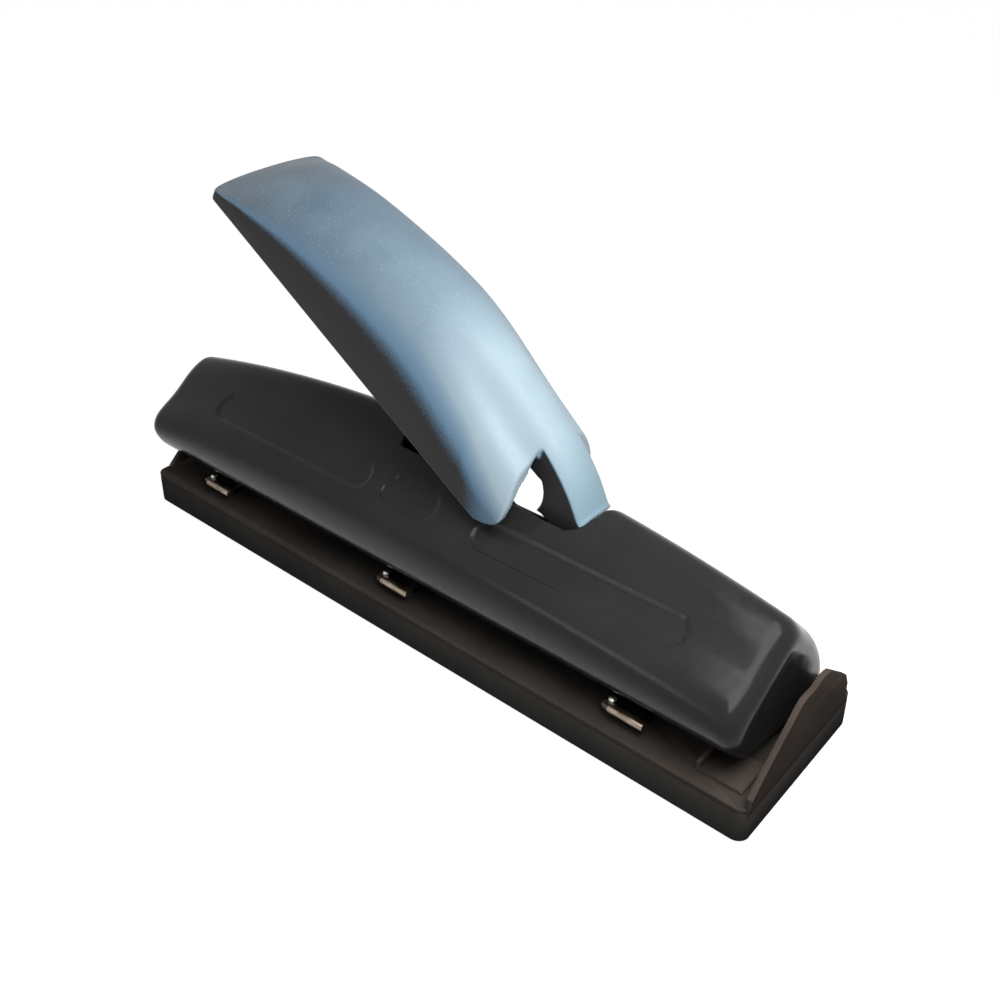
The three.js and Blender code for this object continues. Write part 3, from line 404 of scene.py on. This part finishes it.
def tray_plastic():
    material, tree, shader = fresh("grained_black_moulding")
    cloud = noise(tree, 50, 3)
    grain = noise(tree, 1800, 3, 0.6)
    base = blend(tree, span(tree, cloud, 0.3, 0.7, 0, 1), (0.034, 0.033, 0.032), (0.048, 0.046, 0.044))
    edge = blend(tree, wear(tree), base, (0.085, 0.08, 0.075))
    tree.links.new(edge, shader.inputs["Base Color"])
    shader.inputs["Specular IOR Level"].default_value = 0
    tree.links.new(span(tree, cloud, 0.3, 0.7, 0.4, 0.55), shader.inputs["Roughness"])
    bump(tree, shader, [(grain, 0.2, 0.06)])
    return material


def foot_rubber():
    material, tree, shader = fresh("black_rubber")
    cloud = noise(tree, 200, 3)
    base = blend(tree, span(tree, cloud, 0.3, 0.7, 0, 1), (0.015, 0.015, 0.015), (0.035, 0.034, 0.033))
    tree.links.new(base, shader.inputs["Base Color"])
    tree.links.new(span(tree, cloud, 0.3, 0.7, 0.75, 0.9), shader.inputs["Roughness"])
    bump(tree, shader, [(noise(tree, 2200, 2), 0.25, 0.08)])
    return material


finishes = {
    "lever_paint": lever_paint(),
    "cover_gloss": cover_gloss(),
    "frame_paint": frame_paint(),
    "tray_plastic": tray_plastic(),
    "foot_rubber": foot_rubber(),
    "zinc_plate": metal("zinc_plated_steel", (0.42, 0.42, 0.41), (0.6, 0.6, 0.58), 0.26, 0.4, (1, 1, 1)),
    # Guide steel: grey steel toned tan as a painted reflection of brown surroundings, and painted nearly
    # black behind the lip as painted shade
    "guide_steel": shade_behind_lip(metal("tan_reflecting_steel_with_painted_shade_behind_lip", (0.13, 0.1, 0.075), (0.3, 0.25, 0.2),
                                    0.3, 0.45, (0.5, 1, 1))),
    "rivet_steel": metal("bright_rivet_steel", (0.6, 0.58, 0.54), (0.8, 0.78, 0.74), 0.25, 0.4, (1, 1, 1)),
    "tool_steel": metal("ground_tool_steel", (0.38, 0.38, 0.4), (0.56, 0.56, 0.58), 0.16, 0.28, (1, 1, 6)),
    "spring_steel": metal("drawn_spring_wire", (0.36, 0.36, 0.36), (0.55, 0.55, 0.55), 0.2, 0.32, (1, 1, 1)),
}

slots = {row["node"]: row["material_slot"] for row in frame["record"]["subparts"]}
riders = {name: body for body, names in frame["record"]["behaviour"]["bodies"].items() for name in names}


# Pieces: a CAD node's form with its edges softened
def softened(name, width, segments=2):
    mesh = bpy.data.objects[name].data.copy()
    work = bmesh.new()
    work.from_mesh(mesh)
    bmesh.ops.remove_doubles(work, verts=work.verts, dist=weld_gap * mm)
    bmesh.ops.dissolve_limit(work, angle_limit=flat_angle, verts=work.verts, edges=work.edges)
    for face in work.faces:
        face.smooth = True
    work.to_mesh(mesh)
    work.free()
    piece = bpy.data.objects.new(name + "_softened", mesh)
    bpy.context.scene.collection.objects.link(piece)
    soften = piece.modifiers.new("edges", "BEVEL")
    soften.width = width * mm
    soften.segments = segments
    soften.limit_method = "ANGLE"
    soften.angle_limit = sharp_angle
    soften.harden_normals = True
    register(piece, name)
    return piece


# Finish, body, replaced node and slot of a piece
def register(piece, name):
    piece.data.materials.clear()
    piece.data.materials.append(finishes[slots[name]])
    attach(piece, riders[name])
    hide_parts(name)


edge_widths = {
    "base_tray": 0.5, "steel_frame": 0.35, "paper_stop": 0.2, "edge_stop": 0.2, "press_beam": 0.4,
    "hinge_bracket": 0.3, "lever_arm": 0.3,
    "punch_guide_left": 0.25, "punch_guide_middle": 0.25, "punch_guide_right": 0.25,
    "foot_front_left": 0.4, "foot_front_right": 0.4, "foot_rear_left": 0.4, "foot_rear_right": 0.4,
}
spring_edge_width = 0.05
for name, width in edge_widths.items():
    softened(name, width)


def squeezed_spring(side):
    name = "return_spring_" + side
    piece = softened(name, spring_edge_width, 1)
    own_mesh(piece)
    return name


springs = [squeezed_spring(side) for side in ("left", "middle", "right")]


# Nodes that show as they are, with a finish of their own
rebuilt = ["lever_shell", "cover", *edge_widths, *springs]
for name, slot in slots.items():
    if name not in rebuilt:
        finish = finishes["rivet_steel" if "guide_rivet" in name else slot]
        bpy.data.objects[name].data.materials.clear()
        bpy.data.objects[name].data.materials.append(finish)


# Mesh helpers
def linked(name, data):
    piece = bpy.data.objects.new(name, data)
    bpy.context.scene.collection.objects.link(piece)
    return piece


def raw(name, points, faces):
    mesh = bpy.data.meshes.new(name)
    mesh.from_pydata([tuple(value * mm for value in point) for point in points], [], faces)
    work = bmesh.new()
    work.from_mesh(mesh)
    bmesh.ops.remove_doubles(work, verts=work.verts, dist=fine_weld_gap * mm)
    bmesh.ops.triangulate(work, faces=work.faces)
    bmesh.ops.recalc_face_normals(work, faces=work.faces)
    work.to_mesh(mesh)
    work.free()
    return linked(name, mesh)


def loft(name, rings):
    count = len(rings[0])
    points = [point for ring in rings for point in ring]
    faces = []
    for step in range(len(rings) - 1):
        low = step * count
        for at in range(count):
            after = (at + 1) % count
            faces.append((low + at, low + after, low + count + after, low + count + at))
    faces.append(tuple(range(count))[::-1])
    faces.append(tuple(range(len(points) - count, len(points))))
    return raw(name, points, faces)


def prism(name, outline, low, high, axis):
    point = {"z": lambda a, b, level: (a, b, level), "y": lambda a, b, level: (a, level, b)}[axis]
    return loft(name, [[point(a, b, level) for a, b in outline] for level in (low, high)])


def block(name, low, high):
    outline = [(low[0], low[1]), (high[0], low[1]), (high[0], high[1]), (low[0], high[1])]
    return prism(name, outline, low[2], high[2], "z")


def disc(x, y, radius, steps=32):
    return [(x + radius * math.cos(2 * math.pi * at / steps), y + radius * math.sin(2 * math.pi * at / steps))
            for at in range(steps)]


def bake(piece):
    bpy.context.view_layer.update()
    graph = bpy.context.evaluated_depsgraph_get()
    mesh = bpy.data.meshes.new_from_object(piece.evaluated_get(graph))
    old = piece.data
    piece.modifiers.clear()
    piece.data = mesh
    bpy.data.meshes.remove(old)
    return piece


def combine(piece, tool, operation, keep=False):
    step = piece.modifiers.new("step", "BOOLEAN")
    step.operation = operation
    step.solver = "MANIFOLD"
    step.object = tool
    bake(piece)
    if not keep:
        bpy.data.objects.remove(tool)
    return piece


# A voxel grid and a little smoothing round every edge, as a mould does
def moulded(piece, voxel, rounds):
    grid = piece.modifiers.new("grid", "REMESH")
    grid.mode = "VOXEL"
    grid.voxel_size = voxel * mm
    grid.use_smooth_shade = True
    smooth = piece.modifiers.new("smooth", "SMOOTH")
    smooth.factor = smoothing_factor
    smooth.iterations = rounds
    return bake(piece)


def held(value):
    return min(max(value, 0.0), 1.0)


def smooth_step(share):
    return held(share) ** 2 * (3 - 2 * held(share))


# Catmull-Rom curve through the points, as three.js draws it: its SplineCurve with power 0, and its
# centripetal curve with power 0.5
def spline_point(points, share, power):
    spans = len(points) - 1
    at = min(int(share * spans), spans - 1)
    weight = share * spans - at
    p1, p2 = points[at], points[at + 1]
    p0 = points[at - 1] if at > 0 else tuple(2 * a - b for a, b in zip(p1, p2))
    p3 = points[at + 2] if at < spans - 1 else tuple(2 * b - a for a, b in zip(p1, p2))
    if power == 0 and at == 0:
        p0 = p1
    if power == 0 and at == spans - 1:
        p3 = p2
    result = []
    gaps = [max(math.dist(a, b) ** power, 1e-6) if power else 1.0 for a, b in ((p0, p1), (p1, p2), (p2, p3))]
    for a, b, c, d in zip(p0, p1, p2, p3):
        first = ((b - a) / gaps[0] - (c - a) / (gaps[0] + gaps[1]) + (c - b) / gaps[1]) * gaps[1]
        last = ((c - b) / gaps[1] - (d - b) / (gaps[1] + gaps[2]) + (d - c) / gaps[2]) * gaps[1]
        cubic = 2 * b - 2 * c + first + last
        square = -3 * b + 3 * c - 2 * first - last
        result.append(b + first * weight + square * weight ** 2 + cubic * weight ** 3)
    return tuple(result)


# Lever shell. The height of its crown at x is found by halving along the crown's curve
def crown_height(x):
    share = (x + shell_free_end) / (shell_free_end + shell_crown_end)
    low, high = 0.0, 1.0
    while high - low > crown_search_step:
        middle = (low + high) / 2
        if spline_point(crown_shares, middle, 0)[0] < share:
            low = middle
        else:
            high = middle
    return shell_peak * spline_point(crown_shares, low, 0)[1]


# Section across the lever: a rounded arch, with a valley on each side of its ridge near the heel
def shell_section(x, inset, steps=96):
    from_end = min(x + shell_free_end - inset, shell_corner_radius)
    pulled = shell_corner_radius ** 2 - (shell_corner_radius - max(from_end, 0)) ** 2
    half_width = shell_half_width - inset - shell_corner_radius + math.sqrt(max(pulled, 0))
    edge_share = (x + shell_free_end) / (shell_free_end + shell_crown_end)
    edge_rise = (shell_edge_heel - shell_edge_free) * min(1, shell_edge_rise_rate * edge_share)
    edge = shell_edge_free + edge_rise - inset
    rise = crown_height(x) - inset - edge
    near_heel = smooth_step(1 + x / valley_length)
    power = 2 / (shell_roundness + (heel_roundness - shell_roundness) * near_heel)
    ring = []
    for step in range(steps + 1):
        angle = math.pi * step / steps
        across = math.copysign(abs(math.cos(angle)) ** power, math.cos(angle))
        y = half_width * across
        valley = valley_depth * near_heel * math.exp(-(((abs(y) - valley_place) / valley_width) ** 2))
        ring.append((x, y, edge + rise * math.sin(angle) ** power - valley))
    bottom = shell_underside - overrun if inset else shell_underside
    return ring + [(x, -half_width, bottom), (x, half_width, bottom)]


def shell_loft(name, inset):
    start = -shell_free_end + inset
    end = shell_heel_end - inset
    corner = [start + shell_corner_radius * (1 - math.cos(math.pi / 2 * at / shell_corner_steps))
              for at in range(shell_corner_steps)]
    straight = end - start - shell_corner_radius
    rest = [start + shell_corner_radius + straight * at / shell_steps for at in range(shell_steps + 1)]
    return loft(name, [shell_section(x, inset) for x in corner + rest])


def arc(centre_x, centre_z, radius, start, end, steps=20):
    return [(centre_x + radius * math.cos(start + (end - start) * at / steps),
             centre_z + radius * math.sin(start + (end - start) * at / steps)) for at in range(steps + 1)]


def bow(first, pull, last, steps=12):
    points = []
    for at in range(1, steps + 1):
        t = at / steps
        points.append(tuple((1 - t) ** 2 * a + 2 * t * (1 - t) * b + t * t * c
                            for a, b, c in zip(first, pull, last)))
    return points


# Outline of the tongue's two side walls
def tongue_side():
    x, z, radius = finger_arc
    tip = shell_heel_end + fit
    points = [(-tongue_half_width, shell_peak), (-tongue_half_width, knob_height), (knob_reach, knob_height)]
    points += arc(x, z, radius, *(turn * math.pi for turn in finger_arc_turns))
    points += bow(points[-1], (x + radius, tongue_low[1]), tongue_low)
    points += bow(points[-1], (tip - fit, tongue_low[1]), (tip, z + tongue_half_width))
    return points + [(tip, shell_peak)]


# What is cut away beside the tongue, so that two lobes are left
def lobe_cut():
    path = [(notch_start, notch_height)] + lobe_outline
    curve = [spline_point(path, at / lobe_steps, 0) for at in range(lobe_steps + 1)]
    return [(notch_start, shell_peak + overrun)] + curve + [
        (lobe_foot, shell_underside - overrun), (shell_heel_end + overrun, shell_underside - overrun),
        (shell_heel_end + overrun, shell_peak + overrun),
    ]


def cut_heel(piece):
    for side in (-1, 1):
        low, high = sorted((side * tongue_half_width, side * (shell_half_width + overrun)))
        combine(piece, prism("lobe", lobe_cut(), low, high, "y"), "DIFFERENCE")
    combine(piece, block("under", (notch_start, -tongue_half_width, shell_underside - overrun),
                         (shell_heel_end + overrun, tongue_half_width, under_tongue_height)), "DIFFERENCE")


def open_free_end(piece):
    inside = shell_half_width - shell_corner_radius
    combine(piece, block("end", (-shell_free_end - fit, -inside, shell_underside - fit),
                         (-shell_free_end + shell_wall + fit, inside,
                          crown_height(-shell_free_end) - shell_end_margin)), "DIFFERENCE")


def add_tongue_cheeks(piece, solid):
    for side in (-1, 1):
        low, high = sorted((side * (tongue_half_width - tongue_wall), side * tongue_half_width))
        cheek = prism("cheek", tongue_side(), low, high, "y")
        combine(cheek, solid, "INTERSECT", keep=True)
        combine(piece, cheek, "UNION")


def add_shell_bosses(piece, solid):
    middle = sum(arm_y) / 2
    for x in lever_screw_places:
        boss = prism("boss", disc(x, middle, shell_boss_radius), arm_web_top + fit, shell_peak, "z")
        combine(boss, solid, "INTERSECT", keep=True)
        combine(piece, boss, "UNION")
        hole = prism("hole", disc(x, middle, shell_hole_radius), arm_web_top - shell_hole_lead,
                     arm_web_top + 2 * fit + shell_hole_depth, "z")
        combine(piece, hole, "DIFFERENCE")


def lever_shell():
    piece = shell_loft("lever_shell_moulded", 0)
    solid = linked("solid", piece.data.copy())
    combine(piece, shell_loft("inner", shell_wall), "DIFFERENCE")
    cut_heel(piece)
    open_free_end(piece)
    add_tongue_cheeks(piece, solid)
    add_shell_bosses(piece, solid)
    bpy.data.objects.remove(solid)
    moulded(piece, shell_voxel, shell_smoothing)
    at_hinge = Matrix.Translation((hinge_x * mm, 0, hinge_height * mm))
    piece.data.transform(at_hinge @ Matrix.Rotation(lever_raise, 4, "Y"))
    register(piece, "lever_shell")


# Cover
def middle_share(x):
    drop = (x - cover_crest_x) ** 2 / (2 * cover_arch_radius)
    return max(1 - drop / (cover_height * (1 - cover_end_share)), 0)


# Section across the cover, between the outline of its ends and that of its crest, and drawn in at its ends
def cover_section(x, inset, steps=110):
    share = middle_share(x)
    points = []
    for (depth, rise), (mid_depth, mid_rise) in zip(end_section_shares, middle_section_shares):
        points.append((cover_front + (depth + (mid_depth - depth) * share) * cover_depth,
                       cover_bottom + (rise + (mid_rise - rise) * share) * cover_height))
    from_end = cover_half_length - inset - abs(x - cover_middle)
    into_end = max(cover_end_radius - from_end, 0)
    rounding = cover_end_radius - math.sqrt(max(cover_end_radius ** 2 - into_end ** 2, 0))
    pull = inset + rounding
    middle_y = cover_front + cover_depth / 2
    wide = 1 - 2 * pull / cover_depth
    tall = 1 - pull / (cover_height * (cover_end_share + (1 - cover_end_share) * share))
    ring = []
    for at in range(steps + 1):
        y, z = spline_point(points, at / steps, 0.5)
        ring.append((x, middle_y + (y - middle_y) * wide, cover_bottom + (z - cover_bottom) * tall))
    if inset:
        first, last = ring[0], ring[-1]
        ring = [(x, first[1], first[2] - overrun)] + ring + [(x, last[1], last[2] - overrun)]
    return ring


def cover_loft(name, inset):
    half = cover_half_length - inset
    ends = [half - cover_end_radius * (1 - math.cos(math.pi / 2 * at / cover_end_steps))
            for at in range(cover_end_steps)]
    inner = half - cover_end_radius
    along = [inner * (at / cover_half_steps - 1) for at in range(2 * cover_half_steps + 1)]
    places = [-x for x in ends] + along + ends[::-1]
    return loft(name, [cover_section(cover_middle + x, inset) for x in places])


# Room for the tongue: level from its front to the bend, then sloping down and widening to the back
def saddle_trough(clearance):
    start = saddle_from_front - clearance
    rows = []
    for at in range(saddle_corner_steps):
        angle = math.pi / 2 * at / saddle_corner_steps
        rows.append((start + saddle_corner_radius * (1 - math.cos(angle)),
                     saddle_corner_radius * (1 - math.sin(angle))))
    rows += [(saddle_level_end, 0), (base_depth + overrun, 0)]
    quarter = [math.pi / 2 * at / flank_steps for at in range(flank_steps + 1)]
    flank = [(flank_run * math.sin(angle), flank_rise * (1 - math.cos(angle))) for angle in quarter]
    spread = (flank_top_rise - flank_rise) * flank_slope
    rings = []
    for from_front, pull in rows:
        behind = max(from_front - saddle_level_end, 0)
        left = saddle_left - clearance - behind * saddle_left_spread
        right = saddle_right + clearance - pull
        floor = saddle_floor - clearance - behind * saddle_floor_slope
        outline = [(right + run, rise) for run, rise in flank]
        outline += [(right + flank_run + spread, flank_top_rise),
                    (left - flank_run * saddle_left_flank_share - spread, flank_top_rise)]
        outline += [(left - run * saddle_left_flank_share, rise) for run, rise in reversed(flank)]
        rings.append([(x, front + from_front, floor + rise) for x, rise in outline])
    return loft("trough", rings)


# The mesh's own points are moved down, so that the recesses have rounded edges
def carve_recesses(piece):
    reach = recess_radius + recess_edge_margin
    spans = [[cover_middle + share * cover_half_length for share in shares] for shares in recess_spans]
    work = bmesh.new()
    work.from_mesh(piece.data)
    work.normal_update()
    for point in work.verts:
        if point.normal.z < least_upward_share:
            continue
        x, y = point.co.x / mm, point.co.y / mm
        line = front + recess_from_front + recess_drift_at_ends * (1 - middle_share(x))
        if abs(y - line) > reach:
            continue
        for start, end in spans:
            nearest = min(max(x, start + recess_radius), end - recess_radius)
            inside = reach - math.hypot(x - nearest, y - line)
            point.co.z -= recess_depth * smooth_step(inside / recess_edge_width) * mm
    work.to_mesh(piece.data)
    work.free()


def arm_opening():
    low, high = arm_y[0] - opening_clearance, arm_y[1] + opening_clearance
    radius = opening_corner_radius
    outline = []
    left, right = opening_corner_x
    for x, y, turn in ((right, high - radius, 0), (left, high - radius, 1),
                       (left, low + radius, 2), (right, low + radius, 3)):
        quarter = math.pi / 2
        outline += arc(x, y, radius, turn * quarter, (turn + 1) * quarter, opening_corner_steps)
    return prism("opening", outline, hinge_height, above_cover, "z")


def add_cover_bosses(piece, skin):
    from_middle = cover_half_length - screw_from_end
    for x in (cover_middle - from_middle, cover_middle + from_middle):
        boss = prism("boss", disc(x, screw_boss_y, cover_boss_radius), cover_bottom, cover_boss_top, "z")
        combine(boss, skin, "INTERSECT", keep=True)
        combine(piece, boss, "UNION")
        hole_top = cover_bottom + cover_hole_depth
        hole = prism("hole", disc(x, screw_boss_y, cover_hole_radius), 0, hole_top, "z")
        combine(piece, hole, "DIFFERENCE")


def cover():
    piece = cover_loft("cover_moulded", 0)
    combine(piece, saddle_trough(0), "DIFFERENCE")
    skin = linked("skin", piece.data.copy())
    hollow = cover_loft("hollow", cover_wall)
    combine(hollow, saddle_trough(saddle_wall), "DIFFERENCE")
    combine(piece, hollow, "DIFFERENCE")
    combine(piece, arm_opening(), "DIFFERENCE")
    add_cover_bosses(piece, skin)
    bpy.data.objects.remove(skin)
    moulded(piece, cover_voxel, cover_smoothing)
    carve_recesses(piece)
    register(piece, "cover")


lever_shell()
cover()


# Camera, in metres and degrees: where the photograph was taken from
image_width = 1000
focal_length_in_pixels = 1110
sensor_width = 36
camera_place = (0.2444, -0.2614, 0.2859)
camera_turn = math.radians(40.38)
camera_tilt = math.radians(33.75)


def photograph_camera():
    backward = Vector((math.sin(camera_turn) * math.cos(camera_tilt),
                       -math.cos(camera_turn) * math.cos(camera_tilt), math.sin(camera_tilt)))
    rightward = Vector((math.cos(camera_turn), math.sin(camera_turn), 0))
    axes = Matrix((rightward, backward.cross(rightward), backward)).transposed()
    lens = bpy.data.cameras.new("view")
    lens.sensor_width = sensor_width
    lens.lens = focal_length_in_pixels * sensor_width / image_width
    lens.clip_start = 0.01
    camera = linked("view", lens)
    camera.matrix_world = Matrix.Translation(camera_place) @ axes.to_4x4()
    bpy.context.scene.camera = camera


photograph_camera()


# Floor, world and lamps, in metres and watts
floor_half = 12
floor_glow = 0.92
floor_lit_shade = 0.15
floor_seen_shade = 0.4
floor_roughness = 0.9
world_light = 0.18
bpy.context.scene.view_settings.view_transform = "Standard"


# 1 where the camera sees the surround, by itself or in metal, and 0 where the surround lights the object
def seen_ray(tree):
    path = node(tree, "ShaderNodeLightPath")
    total = path.outputs["Is Camera Ray"]
    for name in ("Is Glossy Ray", "Is Transmission Ray"):
        total = maths(tree, "MAXIMUM", total, path.outputs[name])
    return total


def floor():
    mesh = bpy.data.meshes.new("floor")
    corners = [(x * floor_half, y * floor_half, 0) for x, y in ((-1, -1), (1, -1), (1, 1), (-1, 1))]
    mesh.from_pydata(corners, [], [(0, 1, 2, 3)])
    piece = linked("floor", mesh)
    material, tree, shader = fresh("pale_floor")
    seen = seen_ray(tree)
    shade = blend(tree, seen, (floor_lit_shade,) * 3, (floor_seen_shade,) * 3)
    tree.links.new(shade, shader.inputs["Base Color"])
    shader.inputs["Roughness"].default_value = floor_roughness
    shader.inputs["Specular IOR Level"].default_value = 0
    glow = node(tree, "ShaderNodeEmission")
    glow.inputs["Color"].default_value = (1, 1, 1, 1)
    tree.links.new(maths(tree, "MULTIPLY", seen, floor_glow), glow.inputs["Strength"])
    both = node(tree, "ShaderNodeAddShader")
    tree.links.new(shader.outputs["BSDF"], both.inputs[0])
    tree.links.new(glow.outputs["Emission"], both.inputs[1])
    tree.links.new(both.outputs["Shader"], tree.nodes["Material Output"].inputs["Surface"])
    mesh.materials.append(material)


def studio():
    world = bpy.data.worlds.new("studio")
    world.use_nodes = True
    tree = world.node_tree
    sky = tree.nodes["Background"]
    sky.inputs["Color"].default_value = (1, 1, 1, 1)
    tree.links.new(span(tree, seen_ray(tree), 0, 1, world_light, 1), sky.inputs["Strength"])
    bpy.context.scene.world = world


floor()
studio()


def lamp(name, spot, aim, size, power, color):
    light = bpy.data.lights.new(name, "AREA")
    light.shape = "RECTANGLE"
    light.size, light.size_y = size
    light.energy = power
    light.color = color
    piece = linked(name, light)
    piece.location = spot
    piece.visible_camera = False
    piece.rotation_euler = (Vector(spot) - Vector(aim)).to_track_quat("Z", "Y").to_euler()


lamp("key", (0.185, -0.06, 0.29), (0.02, 0, 0.12), (0.2, 0.2), 1.15, (1, 0.99, 0.97))
lamp("front", (-0.25, -0.9, 0.35), (0, 0, 0.03), (0.3, 0.3), 1.1, (0.9, 0.95, 1))
